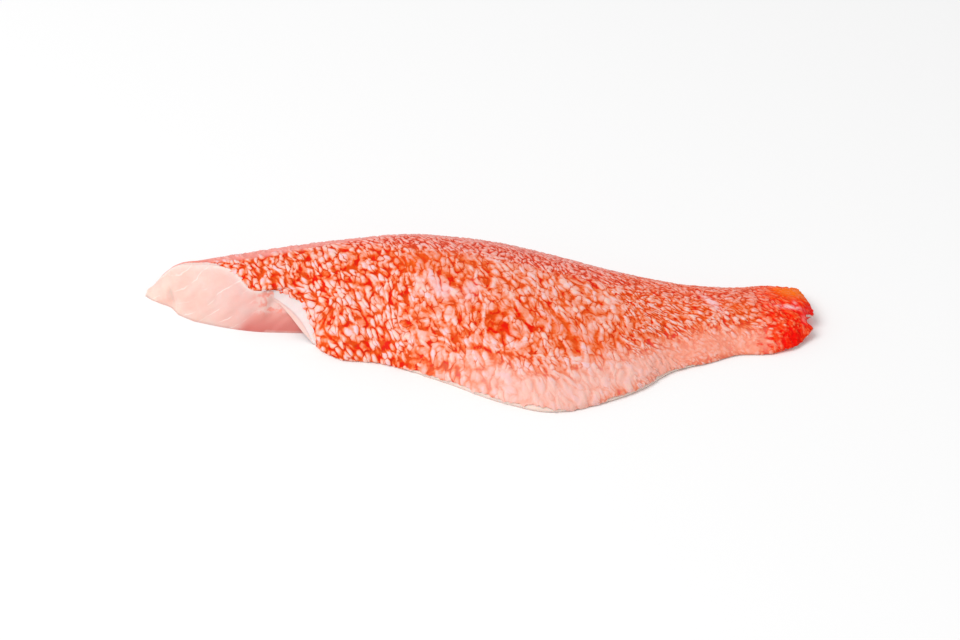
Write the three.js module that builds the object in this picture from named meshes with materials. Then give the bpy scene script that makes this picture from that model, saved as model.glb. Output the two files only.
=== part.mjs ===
// Raw redfish fillet, lying skin side up, as one closed solid. Millimetres, +Z up.
// X runs from the head cut (-) to the tail (+), Y from the belly edge (-) to the back edge (+).
//
// The solid is a box of many cells bent into the fillet's form. Its shares run from 0 to 1:
// u along the fillet, v across it from the belly to the back, and w up from the underside to the skin.
import * as THREE from 'three';
import { mergeVertices } from 'three/addons/utils/BufferGeometryUtils.js';

const { lerp, clamp, smoothstep, seededRandom } = THREE.MathUtils;

const CELLS_ALONG = 84;
const CELLS_ACROSS = 29;
const CELLS_UP = 4;

// ---------------------------------------------------------------- curves of the form

/** Value at x of the smooth curve through [x, value] pairs, level beyond its ends, with no overshoot. */
function curveThrough(pairs) {
  const slopes = pairs.slice(1).map(([x, value], i) => (value - pairs[i][1]) / (x - pairs[i][0]));
  const tangents = pairs.map((pair, i) => {
    if (i === 0) return slopes[0];
    if (i === slopes.length) return slopes[i - 1];
    const [before, after] = [slopes[i - 1], slopes[i]];
    return before * after > 0 ? (2 * before * after) / (before + after) : 0;
  });
  return (x) => {
    const at = clamp(x, pairs[0][0], pairs.at(-1)[0]);
    const i = Math.max(0, pairs.findLastIndex(([start], k) => start <= at && k < slopes.length));
    const span = pairs[i + 1][0] - pairs[i][0];
    const t = (at - pairs[i][0]) / span;
    return pairs[i][1] * (1 + 2 * t) * (1 - t) ** 2
      + tangents[i] * span * t * (1 - t) ** 2
      + pairs[i + 1][1] * t * t * (3 - 2 * t)
      + tangents[i + 1] * span * t * t * (t - 1);
  };
}

/** Plan curve through [x, y] points, as a function of the share of its length. */
function planCurve(points) {
  const curve = new THREE.SplineCurve(points.map(([x, y]) => new THREE.Vector2(x, y)));
  return (share) => curve.getPointAt(share);
}

// Outline in plan. Left of the head cut the belly edge is where it would be on the whole side.
const bellyEdge = curveThrough([
  [-124, 22], [-80, 2.5], [-60, 0], [-56, -5], [-48, -10.5], [-39, -11.5], [-14, -24.2], [8, -38],
  [24, -43.5], [43, -37.5], [56, -29.5], [68, -18], [80, -12.5], [94, -6.5], [103, -6.3], [112, -3.5], [116, 0.5],
]);
const backEdge = curveThrough([
  [-124.5, 36], [-112, 39], [-100, 42], [-50, 51], [-20, 53.5], [0, 53], [35, 43.8], [50, 39],
  [75, 33], [90, 32], [106, 34.5], [118, 32.5],
]);

// The ridge along the thickest flesh, and the skin's height at the ridge and at both edges.
const ridgeLine = curveThrough([[-124, 34], [-90, 31], [-14, 30], [27, 25], [58, 21], [94, 17], [121, 15]]);
const ridgeHeight = curveThrough([
  [-125, 2.2], [-118, 7.4], [-112, 12.8], [-106, 15.1], [-90, 18], [-50, 23.2], [-26, 25.4], [0, 22.8],
  [27, 18.4], [60, 12.4], [75, 10.6], [100, 9.5], [115, 8.5], [121, 5],
]);
const bellyRimHeight = curveThrough([[-124, 1.6], [-60, 2], [0, 2.5], [60, 2], [121, 1.5]]);
const backRimHeight = curveThrough([[-125, 1.8], [-100, 5], [-50, 9], [0, 9], [60, 5], [100, 3.5], [121, 3.5]]);
const BELLY_FULLNESS = 0.85;
const BACK_FULLNESS = 0.75;

/** Height of the smooth skin: a low arch that rises from both edges to the ridge. */
function skinHeight(x, y) {
  const ridge = ridgeLine(x);
  const top = ridgeHeight(x);
  if (y < ridge) {
    const share = clamp((y - bellyEdge(x)) / (ridge - bellyEdge(x)), 0, 1);
    return lerp(bellyRimHeight(x), top, Math.sin((Math.PI / 2) * share) ** BELLY_FULLNESS);
  }
  const share = clamp((y - ridge) / (backEdge(x) - ridge), 0, 1);
  return lerp(backRimHeight(x), top, Math.max(0, Math.cos((Math.PI / 2) * share)) ** BACK_FULLNESS);
}

// The tail end has two short lobes with a notch between them.
const tailEnd = curveThrough([
  [0, 116.2], [0.09, 117.4], [0.19, 120.4], [0.25, 118.7], [0.31, 118.4], [0.43, 121.7], [0.7, 119.8], [1, 117.8],
]);

// The head cut crosses the fillet in three stretches: the cut end of the belly flap, the inner wall of
// the hollow under it, and the long slanted face of the thick flesh, which ends in the tip.
const FLAP_END = 8 / CELLS_ACROSS;
const WALL_END = 11 / CELLS_ACROSS;
const skinCut = planCurve([
  [-59.5, -0.9], [-62.3, 7.7], [-67.2, 12.4], [-75, 14.5], [-80, 14.8], [-84.4, 16.6], [-91.1, 24.9],
  [-100.2, 28.9], [-113.6, 32], [-123.5, 35.8],
]);
const skinCutLength = curveThrough([[0, 0], [FLAP_END, 0.306], [WALL_END, 0.37], [1, 1]]);
const footCut = planCurve([
  [-79, 8.2], [-90.7, 9.3], [-99.8, 13.2], [-109.2, 19.5], [-118.8, 27.4], [-124.2, 34],
]);
const FLAP_CORNER_X = -59.8;
const HOLLOW_CORNER_X = -75.2;
const HOLLOW_FOOT_X = footCut(0).x;

// The hollow under the flap: how far across its inner end lies, where its wall stands, and its height.
const hollowEnd = curveThrough([
  [-76, 0.3], [-60, 0.275], [-45, 0.3], [-30, 0.27], [-18, 0.25], [-5, FLAP_END],
]);
const soleStart = curveThrough([
  [-124, 0.13], [-79, 0.144], [-60, 0.15], [-45, 0.22], [-30, 0.23], [-18, 0.29], [-5, WALL_END],
]);
const hollowHeight = curveThrough([[-76, 9.8], [-60, 10], [-45, 9.5], [-30, 6.5], [-18, 3], [-5, 0]]);

// ---------------------------------------------------------------- relief

const POCKET_PITCH = 8.2;
const POCKET_SLANT = 0.5;
const POCKET_RELIEF = 0.3;
const SKIN_JITTER = 0.16;
const JITTER_SEED = 7;
const ROW_SWAY = 3;
const ROW_SWAY_LENGTH = 150;
const FLAKE_PITCH = 7.5;
const FLAKE_LEAN = 0.6;
const FLAKE_RELIEF = 0.35;

/** Relief of the skin: rows of swollen scale pockets that cross each other at a slant. */
function pocketRelief(x, y) {
  const sway = ROW_SWAY * Math.sin((2 * Math.PI * (x + y)) / ROW_SWAY_LENGTH);
  const along = (x + POCKET_SLANT * y + sway) / POCKET_PITCH;
  const across = (y - POCKET_SLANT * x + sway) / POCKET_PITCH;
  return POCKET_RELIEF * Math.cos(2 * Math.PI * along) * Math.cos(2 * Math.PI * across);
}

/** Relief of cut flesh: shallow waves of its flakes, which lean back as they rise. */
function flakeRelief(x, height) {
  return FLAKE_RELIEF * Math.sin((2 * Math.PI * (x - FLAKE_LEAN * height)) / FLAKE_PITCH);
}

// ---------------------------------------------------------------- the box's faces, bent

// Rows that start at the head cut fan out over this share of the fillet's length.
const FAN = 0.35;

/** Point of the skin. */
function skinPoint(u, v) {
  const start = skinCut(skinCutLength(v));
  const startShare = clamp((start.y - bellyEdge(start.x)) / (backEdge(start.x) - bellyEdge(start.x)), 0, 1);
  const x = lerp(start.x, tailEnd(v), u);
  const share = lerp(startShare, v, smoothstep(u, 0, FAN));
  const y = lerp(bellyEdge(x), backEdge(x), share);
  return new THREE.Vector3(x, y, skinHeight(x, y));
}

/** Point of the underside: the flap's lower face, the hollow's wall, or the flat sole. */
function undersidePoint(u, v) {
  const acrossAt = (x, share) => lerp(bellyEdge(x), backEdge(x), share);
  if (v <= FLAP_END) {
    const t = v / FLAP_END;
    const x = lerp(lerp(FLAP_CORNER_X, HOLLOW_CORNER_X, t), tailEnd(v), u);
    return new THREE.Vector3(x, lerp(bellyEdge(x), acrossAt(x, hollowEnd(x)), t), hollowHeight(x) * t);
  }
  if (v <= WALL_END) {
    const t = (v - FLAP_END) / (WALL_END - FLAP_END);
    const x = lerp(lerp(HOLLOW_CORNER_X, HOLLOW_FOOT_X, t), tailEnd(v), u);
    const y = lerp(acrossAt(x, hollowEnd(x)), acrossAt(x, soleStart(x)), t);
    return new THREE.Vector3(x, y, hollowHeight(x) * (1 - t));
  }
  const t = (v - WALL_END) / (1 - WALL_END);
  const start = footCut(t);
  const startEdge = acrossAt(start.x, soleStart(start.x));
  const startShare = clamp((start.y - startEdge) / (backEdge(start.x) - startEdge), 0, 1);
  const x = lerp(start.x, tailEnd(v), u);
  const share = lerp(startShare, t, smoothstep(u, 0, FAN));
  return new THREE.Vector3(x, lerp(acrossAt(x, soleStart(x)), backEdge(x), share), 0);
}

// How far the rims and the cut face swell outward, and the shares over which the swelling and the
// skin's relief die away at the ends and edges.
const BELLY_BULGE = 0.6;
const BACK_BULGE = 1.6;
const CUT_BULGE = 1.4;
const CUT_OUTWARD = new THREE.Vector3(-0.35, -0.94, 0);
const CUT_BLEND = 0.2;
const TIP_BLEND = 0.1;
const RELIEF_BLEND_ALONG = 0.03;
const RELIEF_BLEND_ACROSS = 0.08;

/** Where the box's surface point (u, v, w) lies on the fillet. */
function filletPoint(u, v, w) {
  const point = undersidePoint(u, v).lerp(skinPoint(u, v), w);
  const side = Math.sin(Math.PI * w);
  if (v === 0) point.y -= BELLY_BULGE * side;
  if (v === 1) point.y += BACK_BULGE * side * smoothstep(u, 0, TIP_BLEND);
  if (u === 0) {
    const thick = smoothstep(v, WALL_END, WALL_END + CUT_BLEND) * smoothstep(1 - v, 0, TIP_BLEND);
    const out = thick * (CUT_BULGE + flakeRelief(point.x, point.z)) * side;
    point.addScaledVector(CUT_OUTWARD, out);
  }
  if (w === 1) {
    const inside = smoothstep(Math.min(u, 1 - u), 0, RELIEF_BLEND_ALONG)
      * smoothstep(Math.min(v, 1 - v), 0, RELIEF_BLEND_ACROSS);
    point.z += inside * (pocketRelief(point.x, point.y) + SKIN_JITTER * (2 * seededRandom() - 1));
  }
  return point;
}

// ---------------------------------------------------------------- the model

function filletGeometry() {
  const box = new THREE.BoxGeometry(1, 1, 1, CELLS_ALONG, CELLS_ACROSS, CELLS_UP);
  box.deleteAttribute('normal');
  box.deleteAttribute('uv');
  box.clearGroups();
  box.translate(0.5, 0.5, 0.5);
  const geometry = mergeVertices(box);
  const positions = geometry.attributes.position;
  seededRandom(JITTER_SEED);
  for (let i = 0; i < positions.count; i++) {
    const shares = [positions.getX(i), positions.getY(i), positions.getZ(i)];
    const point = filletPoint(...shares.map((share) => clamp(share, 0, 1)));
    positions.setXYZ(i, point.x, point.y, point.z);
  }
  geometry.computeVertexNormals();
  return geometry;
}

/** The fillet, centred over the origin, with its sole on the ground. */
function makeFillet() {
  const skin = new THREE.MeshStandardMaterial({ color: 0xf2825a, roughness: 0.35, metalness: 0 });
  const fillet = new THREE.Mesh(filletGeometry(), skin);
  fillet.name = 'fillet';
  fillet.geometry.computeBoundingBox();
  const middle = fillet.geometry.boundingBox.getCenter(new THREE.Vector3());
  fillet.position.set(-middle.x, -middle.y, 0);
  return fillet;
}

const model = new THREE.Group();
model.add(makeFillet());
export default model;
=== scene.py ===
"""Raw redfish fillet, lying skin side up: its wet skin and its flesh, dressed over the frame's one solid.

The form's numbers are millimetres, with X from the head cut to the tail, Y from the belly edge to the back
edge, and Z up. Places on the fillet are given as shares from 0 to 1: u along it, v across it from belly to
back, and w up its sides from the underside to the skin.
"""
import math

import bpy
import numpy as np
from bpy.props import FloatProperty, FloatVectorProperty, PointerProperty
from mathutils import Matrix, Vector


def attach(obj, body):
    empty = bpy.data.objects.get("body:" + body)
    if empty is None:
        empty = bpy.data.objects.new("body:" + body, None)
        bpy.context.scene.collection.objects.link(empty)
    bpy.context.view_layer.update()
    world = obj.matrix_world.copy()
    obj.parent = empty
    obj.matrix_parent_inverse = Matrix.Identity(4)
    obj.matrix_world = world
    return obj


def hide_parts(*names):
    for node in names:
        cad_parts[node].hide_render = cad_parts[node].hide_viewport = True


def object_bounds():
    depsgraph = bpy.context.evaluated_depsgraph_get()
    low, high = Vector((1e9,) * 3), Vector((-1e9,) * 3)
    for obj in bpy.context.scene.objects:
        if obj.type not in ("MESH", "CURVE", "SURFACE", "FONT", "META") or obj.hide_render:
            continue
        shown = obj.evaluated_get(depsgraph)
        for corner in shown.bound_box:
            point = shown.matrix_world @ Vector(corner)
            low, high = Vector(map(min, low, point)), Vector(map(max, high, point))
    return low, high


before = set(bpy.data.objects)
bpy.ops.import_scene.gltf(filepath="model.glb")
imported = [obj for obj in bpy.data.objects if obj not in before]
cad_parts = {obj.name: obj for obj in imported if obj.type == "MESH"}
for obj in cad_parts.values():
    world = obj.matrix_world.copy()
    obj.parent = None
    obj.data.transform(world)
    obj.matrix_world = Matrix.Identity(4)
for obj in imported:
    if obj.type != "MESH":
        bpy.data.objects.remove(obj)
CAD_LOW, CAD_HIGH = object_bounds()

bl_info = {
    "name": "Redfish fillet",
    "version": (1, 0, 0),
    "blender": (4, 5, 0),
    "location": "3D View > Sidebar > Fillet",
    "description": "Makes a raw redfish fillet with its skin, flesh and studio",
    "category": "Add Mesh",
}

MM = 0.001
NODE = "fillet"
BODY = "root"


# ---- curves


def curve_through(*pairs):
    """Smooth curve through (x, value) pairs, level beyond its ends, with no overshoot."""
    at, value = np.array(pairs, float).T
    span = np.diff(at)
    slope = np.diff(value) / span
    rise = np.zeros(len(at))
    rise[0], rise[-1] = slope[0], slope[-1]
    product = slope[:-1] * slope[1:]
    total = slope[:-1] + slope[1:]
    rise[1:-1] = np.where(product > 0, 2 * product / np.where(product > 0, total, 1), 0)

    def curve(x):
        x = np.clip(x, at[0], at[-1])
        i = np.clip(np.searchsorted(at, x, side="right") - 1, 0, len(span) - 1)
        t = (x - at[i]) / span[i]
        return (
            value[i] * (1 + 2 * t) * (1 - t) ** 2
            + rise[i] * span[i] * t * (1 - t) ** 2
            + value[i + 1] * t * t * (3 - 2 * t)
            + rise[i + 1] * span[i] * t * t * (t - 1)
        )

    return curve


def lengths(line):
    """Length along a line of points, up to each point."""
    return np.concatenate([[0], np.cumsum(np.linalg.norm(np.diff(line, axis=0), axis=1))])


def plan_curve(*points):
    """Rounded plan curve through (x, y) points, as a function of the share of its length."""
    ends = np.array([points[0], *points, points[-1]], float)
    t = np.linspace(0, 1, 200, endpoint=False)[:, None]
    stretches = []
    for before, start, end, after in zip(ends, ends[1:], ends[2:], ends[3:]):
        leave, arrive = (end - before) / 2, (after - start) / 2
        cubic = 2 * start - 2 * end + leave + arrive
        square = -3 * start + 3 * end - 2 * leave - arrive
        stretches.append(cubic * t**3 + square * t**2 + leave * t + start)
    line = np.vstack([*stretches, ends[-1:]])
    length = lengths(line)

    def curve(share):
        at = share * length[-1]
        return np.interp(at, length, line[:, 0]), np.interp(at, length, line[:, 1])

    return curve


def lerp(a, b, t):
    return a + (b - a) * t


def between(x, low, high):
    return np.clip((x - low) / (high - low), 0, 1)


def ease(x, low, high):
    t = between(x, low, high)
    return t * t * (3 - 2 * t)


# ---- the fillet's form

# Outline in plan. Left of the head cut the belly edge is where it would be on the whole side.
belly_edge = curve_through(
    (-124, 22), (-80, 2.5), (-60, 0), (-56, -5), (-48, -10.5), (-39, -11.5), (-14, -24.2), (8, -38),
    (24, -43.5), (43, -37.5), (56, -29.5), (68, -18), (80, -12.5), (94, -6.5), (103, -6.3), (112, -3.5),
    (116, 0.5),
)
back_edge = curve_through(
    (-124.5, 36), (-112, 39), (-100, 42), (-50, 51), (-20, 53.5), (0, 53), (35, 43.8), (50, 39),
    (75, 33), (90, 32), (106, 34.5), (118, 32.5),
)

# The ridge along the thickest flesh, and the skin's height at the ridge and at both edges.
ridge_line = curve_through((-124, 34), (-90, 31), (-14, 30), (27, 25), (58, 21), (94, 17), (121, 15))
ridge_height = curve_through(
    (-125, 2.2), (-118, 7.4), (-112, 12.8), (-106, 15.1), (-90, 18), (-50, 23.2), (-26, 25.4), (0, 22.8),
    (27, 18.4), (60, 12.4), (75, 10.6), (100, 9.5), (115, 8.5), (121, 5),
)
belly_rim_height = curve_through((-124, 1.6), (-60, 2), (0, 2.5), (60, 2), (121, 1.5))
back_rim_height = curve_through((-125, 1.8), (-100, 5), (-50, 9), (0, 9), (60, 5), (100, 3.5), (121, 3.5))
BELLY_FULLNESS = 0.85
BACK_FULLNESS = 0.75

# The tail end has two short lobes with a notch between them.
tail_end = curve_through(
    (0, 115.8), (0.06, 118.2), (0.12, 119.6), (0.165, 120.5), (0.185, 119.3), (0.205, 118.2),
    (0.31, 118.2), (0.34, 119.3), (0.365, 121), (0.43, 121.4), (0.7, 119.4), (1, 117.4),
)

# The head cut: the cut end of the belly flap, the wall of the hollow under it, and the thick flesh's face.
FLAP_END = 8 / 29
WALL_END = 11 / 29
skin_cut = plan_curve(
    (-59.5, -0.9), (-62.3, 7.7), (-67.2, 12.4), (-75, 14.5), (-80, 14.8), (-84.4, 16.6), (-91.1, 24.9),
    (-100.2, 28.9), (-113.6, 32), (-123.5, 35.8),
)
skin_cut_length = curve_through((0, 0), (FLAP_END, 0.306), (WALL_END, 0.37), (1, 1))
foot_cut = plan_curve((-79, 8.2), (-90.7, 9.3), (-99.8, 13.2), (-109.2, 19.5), (-118.8, 27.4), (-124.2, 34))
FLAP_CORNER_X = -59.8
HOLLOW_CORNER_X = -75.2
HOLLOW_FOOT_X = -79

# The hollow under the flap: its inner end and its wall, as shares across, and its height.
hollow_end = curve_through((-76, 0.3), (-60, 0.275), (-45, 0.3), (-30, 0.27), (-18, 0.25), (-5, FLAP_END))
sole_start = curve_through(
    (-124, 0.13), (-79, 0.144), (-60, 0.15), (-45, 0.22), (-30, 0.23), (-18, 0.29), (-5, WALL_END)
)
hollow_height = curve_through((-76, 9.8), (-60, 10), (-45, 9.5), (-30, 6.5), (-18, 3), (-5, 0))

# Share of the length over which rows fan out from the head cut.
FAN = 0.35

# The tail end's wall slants in under the skin: how far, and over which share.
TAIL_UNDERCUT = 5.0
TAIL_BLEND = 0.12

# At the head tip the skin side is raised, and the foot of a small lobe is drawn back.
crown_lift = curve_through((-124, -0.8), (-121.5, -0.8), (-117, 1), (-111, 0.9), (-104, 0))
lobe_back = curve_through((-124, 0.4), (-119, 1.6), (-114, 2.6), (-110.5, 0))

# How far the rims and the cut face swell outward, and the shares over which that dies away.
BELLY_BULGE = 0.6
BACK_BULGE = 1.6
CUT_BULGE = 1.4
CUT_OUTWARD = np.array([-0.35, -0.94, 0])
CUT_BLEND = 0.2
TIP_BLEND = 0.1

# Soft flakes across the cut face: their relief, their pitch, and how much they lean with height.
FLAKE_RELIEF = 0.35
FLAKE_PITCH = 7.5
FLAKE_LEAN = 0.6


def skin_height(x, y):
    """Height of the smooth skin: a low arch that rises from both edges to the ridge."""
    ridge, top = ridge_line(x), ridge_height(x)
    up, down = between(y, belly_edge(x), ridge), between(y, ridge, back_edge(x))
    belly_side = lerp(belly_rim_height(x), top, np.sin(np.pi / 2 * up) ** BELLY_FULLNESS)
    back_side = lerp(back_rim_height(x), top, np.maximum(np.cos(np.pi / 2 * down), 0) ** BACK_FULLNESS)
    return np.where(y < ridge, belly_side, back_side)


def across(x, share):
    return lerp(belly_edge(x), back_edge(x), share)


def skin_point(u, v):
    """Point of the smooth skin."""
    start_x, start_y = skin_cut(skin_cut_length(v))
    start_share = between(start_y, belly_edge(start_x), back_edge(start_x))
    x = lerp(start_x, tail_end(v), u)
    y = across(x, lerp(start_share, v, ease(u, 0, FAN)))
    return np.stack([x, y, skin_height(x, y)], -1)


def underside_point(u, v):
    """Point of the underside: the flap's lower face, the hollow's wall, or the flat sole."""
    end = tail_end(v)

    t = np.clip(v / FLAP_END, 0, 1)
    x = lerp(lerp(FLAP_CORNER_X, HOLLOW_CORNER_X, t), end, u)
    flap = np.stack([x, lerp(belly_edge(x), across(x, hollow_end(x)), t), hollow_height(x) * t], -1)

    t = between(v, FLAP_END, WALL_END)
    x = lerp(lerp(HOLLOW_CORNER_X, HOLLOW_FOOT_X, t), end, u)
    y = lerp(across(x, hollow_end(x)), across(x, sole_start(x)), t)
    wall = np.stack([x, y, hollow_height(x) * (1 - t)], -1)

    t = between(v, WALL_END, 1)
    start_x, start_y = foot_cut(t)
    start_share = between(start_y, across(start_x, sole_start(start_x)), back_edge(start_x))
    x = lerp(start_x, end, u)
    y = lerp(across(x, sole_start(x)), back_edge(x), lerp(start_share, t, ease(u, 0, FAN)))
    sole = np.stack([x, y, np.zeros_like(x)], -1)

    v = v[..., None]
    return np.where(v <= FLAP_END, flap, np.where(v <= WALL_END, wall, sole))


def fillet_point(u, v, w):
    """Point of the whole fillet's surface; u, v and w are arrays of one shape."""
    point = lerp(underside_point(u, v), skin_point(u, v), w[..., None])
    x = point[..., 0].copy()
    point[..., 2] += crown_lift(x) * w
    point[..., 1] += lobe_back(x) * (1 - w) ** 2 * ease(1 - v, 0, TIP_BLEND)
    side = np.sin(np.pi * w)
    point[..., 1] -= BELLY_BULGE * side * (v == 0)
    point[..., 1] += BACK_BULGE * side * ease(u, 0, TIP_BLEND) * (v == 1)
    point[..., 0] -= TAIL_UNDERCUT * np.sqrt(1 - w) * ease(u, 1 - TAIL_BLEND, 1)
    thick = ease(v, WALL_END, WALL_END + CUT_BLEND) * ease(1 - v, 0, TIP_BLEND)
    lean = point[..., 0] - FLAKE_LEAN * point[..., 2]
    flakes = FLAKE_RELIEF * np.sin(2 * np.pi * lean / FLAKE_PITCH)
    out = thick * (CUT_BULGE + flakes) * side * (u == 0)
    return point + out[..., None] * CUT_OUTWARD


def plan_middle():
    """Middle of the form's box in plan, which lies over the middle of the CAD solid's box."""
    u, v, w = np.meshgrid(*(np.linspace(0, 1, count) for count in (200, 100, 9)), indexing="ij")
    points = fillet_point(u, v, w).reshape(-1, 3)
    middle = (points.min(0) + points.max(0)) / 2
    middle[2] = 0
    return middle


PLAN_MIDDLE = plan_middle()
CAD_MIDDLE = np.array([(CAD_LOW[0] + CAD_HIGH[0]) / 2, (CAD_LOW[1] + CAD_HIGH[1]) / 2, CAD_LOW[2]])


def to_frame(points):
    """Millimetres of the form, as metres of the frame."""
    return (np.asarray(points) - PLAN_MIDDLE) * MM + CAD_MIDDLE


# ---- meshes


SHARP_EDGE = math.radians(55)
VECTOR = "FLOAT_VECTOR"


def new_object(name, data):
    made = bpy.data.objects.new(name, data)
    bpy.context.scene.collection.objects.link(made)
    return made


def new_piece(name, points, faces, masks, material):
    """Smooth-shaded object from points in millimetres, with its masks stored for nodes to read."""
    mesh = bpy.data.meshes.new(name)
    mesh.from_pydata(to_frame(points).tolist(), [], faces)
    mesh.shade_smooth()
    mesh.set_sharp_from_angle(angle=SHARP_EDGE)
    for mask, values in masks.items():
        values = np.asarray(values, np.float32)
        kind, key = (VECTOR, "vector") if mask == "lie" else ("FLOAT", "value")
        mesh.attributes.new(mask, kind, "POINT").data.foreach_set(key, values.ravel())
    mesh.materials.append(material)
    return new_object(name, mesh)


def quads(index, turned=False):
    """Faces between the neighbours in a grid of vertex numbers."""
    a, b, c, d = index[:-1, :-1], index[1:, :-1], index[1:, 1:], index[:-1, 1:]
    return np.stack([d, c, b, a] if turned else [a, b, c, d], -1).reshape(-1, 4).tolist()


def soft_spots(points, places):
    """Mask of soft-edged spots in plan."""
    total = np.zeros(points.shape[:-1])
    for x, y, along, wide, degrees, strength in places:
        turn = math.radians(degrees)
        dx, dy = points[..., 0] - x, points[..., 1] - y
        away = ((dx * math.cos(turn) + dy * math.sin(turn)) / along) ** 2
        away += ((dy * math.cos(turn) - dx * math.sin(turn)) / wide) ** 2
        total += strength * np.exp(-away)
    return np.clip(total, 0, 1)


WANDER_WAVES = 7
WANDER_FINEST = 2.2
WANDER_STEP = 1.6


def wander(at, seed):
    """Smooth random wandering along a line of millimetres, mostly between -1 and 1."""
    draw = np.random.default_rng(seed)
    total = np.zeros_like(at)
    for wave in range(WANDER_WAVES):
        length = WANDER_FINEST * WANDER_STEP**wave
        total += np.sin(2 * np.pi * at / length + draw.uniform(0, 2 * np.pi)) * draw.uniform(0.3, 0.6)
    return total / 1.6


# ---- nodes


def shade(red, green, blue):
    """Display colour from 0 to 255, as the linear colour that materials take."""
    display = [channel / 255 for channel in (red, green, blue)]
    return tuple(c / 12.92 if c <= 0.04045 else ((c + 0.055) / 1.055) ** 2.4 for c in display)


# Spacing of the nodes in the editor, and how many stand in a column.
NODE_APART = (180, 220)
NODES_IN_COLUMN = 5


def fill(node, inputs):
    """Links or sets the node's inputs."""
    for key, value in inputs.items():
        if isinstance(value, bpy.types.NodeSocket):
            node.id_data.links.new(value, node.inputs[key])
        else:
            node.inputs[key].default_value = value


class Bench:
    """Adds nodes to one tree, from left to right. Colours are sockets, or names of colour settings."""

    def __init__(self, tree, settings=None):
        self.tree = tree
        self.settings = settings
        self.count = 0

    def add(self, kind, inputs=None, **settings):
        node = self.tree.nodes.new(kind)
        for name, value in settings.items():
            setattr(node, name, value)
        fill(node, inputs or {})
        column, row = divmod(self.count, NODES_IN_COLUMN)
        node.location = (NODE_APART[0] * column, -NODE_APART[1] * row)
        self.count += 1
        return node

    def math(self, operation, *values):
        return self.add("ShaderNodeMath", dict(enumerate(values)), operation=operation).outputs[0]

    def times(self, first, *others):
        for other in others:
            first = self.math("MULTIPLY", first, other)
        return first

    def vector(self, operation, *values, **named):
        inputs = {**dict(enumerate(values)), **named}
        return self.add("ShaderNodeVectorMath", inputs, operation=operation).outputs[0]

    def parts(self, vector):
        return self.add("ShaderNodeSeparateXYZ", {0: vector}).outputs

    def ramp(self, value, low, high, to_low=0, to_high=1):
        inputs = {0: value, 1: low, 2: high, 3: to_low, 4: to_high}
        return self.add("ShaderNodeMapRange", inputs, interpolation_type="SMOOTHSTEP").outputs[0]

    def blend(self, factor, a, b):
        return self.add("ShaderNodeMix", {0: factor, 2: a, 3: b}, data_type="FLOAT").outputs[0]

    def colour(self, factor, a, b):
        inputs = {0: factor}
        for side, value in ((6, a), (7, b)):
            inputs[side] = (*getattr(self.settings, value), 1) if isinstance(value, str) else value
        return self.add("ShaderNodeMix", inputs, data_type="RGBA").outputs[2]

    def layers(self, colour, *layers):
        """The colour under layers: each is (mask, colour), or (mask, share of the mask, colour)."""
        for mask, *share, layer in layers:
            colour = self.colour(self.times(mask, *share), colour, layer)
        return colour

    def tones(self, value, *stops):
        """Colour that goes through the (value, colour) stops."""
        (start, colour), *rest = stops
        for end, next_colour in rest:
            colour = self.colour(self.ramp(value, start, end), colour, next_colour)
            start = end
        return colour

    def noise(self, vector, scale, detail=2, roughness=0.5, output=0):
        inputs = {"Vector": vector, "Scale": scale, "Detail": detail, "Roughness": roughness}
        return self.add("ShaderNodeTexNoise", inputs, noise_dimensions="3D").outputs[output]

    def swing(self, noise, reach, base=0):
        """The base, moved up and down by the noise about its middle."""
        return self.math("MULTIPLY_ADD", self.math("SUBTRACT", noise, 0.5), reach, base)

    def drift(self, vector, by, scale, reach, detail=1, roughness=0.5):
        """The vector, moved about by noise over another vector."""
        noise = self.noise(by, scale, detail, roughness, "Color")
        noise = self.vector("SUBTRACT", noise, (0.5, 0.5, 0.5))
        return self.vector("ADD", vector, self.vector("SCALE", noise, Scale=reach))

    def group(self, tree, **inputs):
        kind = "GeometryNodeGroup" if self.tree.type == "GEOMETRY" else "ShaderNodeGroup"
        return self.add(kind, inputs, node_tree=tree).outputs


# Kinds of the groups' sockets that aren't plain numbers.
SOCKET_KINDS = {"Lie": "Vector", "Place": "Vector", "Geometry": "Geometry"}


def new_group(name, inputs, outputs, kind="ShaderNodeTree"):
    """Empty node group with named sockets, its bench, its input sockets and its output node."""
    tree = bpy.data.node_groups.new(name, kind)
    for side, sockets in (("INPUT", inputs), ("OUTPUT", outputs)):
        for socket in sockets.split():
            what = SOCKET_KINDS.get(socket, "Float")
            tree.interface.new_socket(socket, in_out=side, socket_type=f"NodeSocket{what}")
    bench = Bench(tree)
    return tree, bench, bench.add("NodeGroupInput").outputs, bench.add("NodeGroupOutput")


# Pockets rise from their border and toward their middle, differ in height, and fall off toward the tail,
# where creases lie. The fall toward the tail also tilts the relief, and in the skin's colour it is painted
# light
# and shade: each pocket paler on its head side and darker on its tail side. Ranges are (from, to), or
# (from, to, value there, value there).
POCKET_BEND = 0.8
BORDER_RISE = (-0.04, 0.42)
MIDDLE_RISE = (0.72, 0.12)
MIDDLE_SHARE = 0.75
OWN_HEIGHT = (0, 0.9, 0.55, 1.1)
TAILWARD_PAINTED_SHADE = (-0.6, 0.7, 1.25, 0.55)
PUFF_RISE = (-0.01, 0.15)
CREASE_WIDTH = (0.17, 0.03)
CREASE_SHADE_SIDE = (-0.3, 0.4)
CREASE_BREAKS = (0.4, 0.56)


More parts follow.
